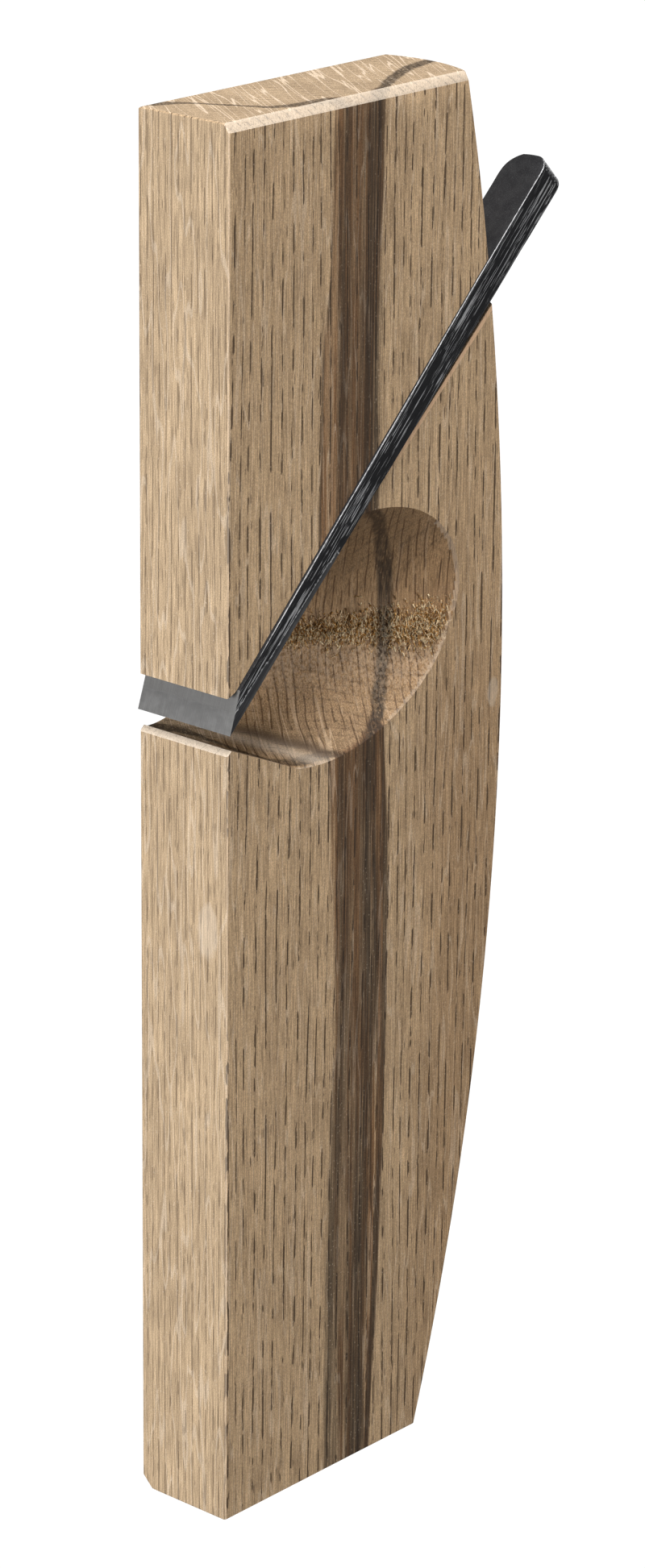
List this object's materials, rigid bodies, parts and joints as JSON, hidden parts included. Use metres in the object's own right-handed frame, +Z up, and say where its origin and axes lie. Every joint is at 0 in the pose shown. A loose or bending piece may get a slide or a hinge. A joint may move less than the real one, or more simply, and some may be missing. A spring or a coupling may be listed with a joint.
{
  "type": "hand plane",
  "caption": "Narrow wooden rabbet plane with an arched body, a conical side escapement and a tanged iron that wedges itself on a steep bed.",
  "frame": {"origin": "centre of the sole, halfway along the body and halfway across it", "axes": "+X along the sole to the toe, +Z up from the sole to the crown, +Y to the blind side, so shavings leave on -Y"},
  "size_m": [0.24, 0.0203, 0.0823],
  "materials": {
    "oak": "planed oak with open dark pores, a brown heartwood streak and pale rays, bare of varnish",
    "forged_iron": "matte black forge scale with bright worn arrises and lengthwise grinding marks on its edges",
    "edge_steel": "ground grey steel with fine grinding lines"
  },
  "bodies": {
    "stock": {"body": "oak"},
    "iron": {"iron_backing": "forged_iron", "edge_steel": "edge_steel"}
  },
  "joints": [
    {"name": "iron_slide", "type": "slide", "parent": "stock", "child": "iron", "axis": [-0.7022, 0, 0.712], "range_m": [0, 0.008]}
  ]
}
